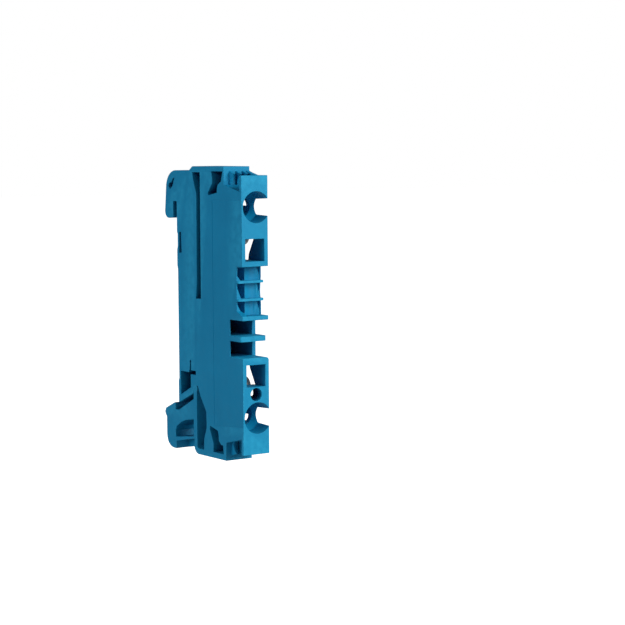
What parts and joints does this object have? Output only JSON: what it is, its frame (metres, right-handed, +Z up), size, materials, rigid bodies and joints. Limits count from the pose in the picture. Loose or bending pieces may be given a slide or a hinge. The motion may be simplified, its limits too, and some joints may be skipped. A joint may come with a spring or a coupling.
{
  "type": "din rail terminal block",
  "caption": "Slim blue terminal block that clips on a 35 mm top-hat rail, with front wire funnels, screwdriver windows, spring clamps and jumper slots.",
  "frame": {"origin": "middle of the block's seat on the rail: half its thickness, the plane of the rail's flanges, half way between their edges", "axes": "+X along the rail towards the open side, -Y towards the wire entries on the front face, +Z up along the block's length"},
  "size_m": [0.005, 0.0246, 0.0479],
  "materials": {
    "housing": "blue polyamide, fine moulded matt",
    "bar": "tinned copper, satin",
    "spring": "stainless spring strip, rolled"
  },
  "bodies": {
    "block": {"housing": "housing", "current_bar": "bar", "upper_clamp_spring": "spring", "lower_clamp_spring": "spring"},
    "foot": {"latch_foot": "housing"},
    "upper_cage": {"upper_clamp_cage": "spring"},
    "lower_cage": {"lower_clamp_cage": "spring"}
  },
  "joints": [
    {"name": "foot_latch", "type": "hinge", "parent": "block", "child": "foot", "pos_m": [0, -0.0053, -0.0134], "axis": [-1, 0, 0], "range_deg": [0, 10.5], "stiffness_Nm_per_rad": 1.1, "springref_deg": -1.15},
    {"name": "upper_clamp", "type": "hinge", "parent": "block", "child": "upper_cage", "pos_m": [0, -0.0159, 0.0124], "axis": [1, 0, 0], "range_deg": [0, 20.5], "stiffness_Nm_per_rad": 0.4, "springref_deg": -14.32},
    {"name": "lower_clamp", "type": "hinge", "parent": "block", "child": "lower_cage", "pos_m": [0, -0.0159, -0.0124], "axis": [-1, 0, 0], "range_deg": [0, 20.5], "stiffness_Nm_per_rad": 0.4, "springref_deg": -14.32}
  ]
}
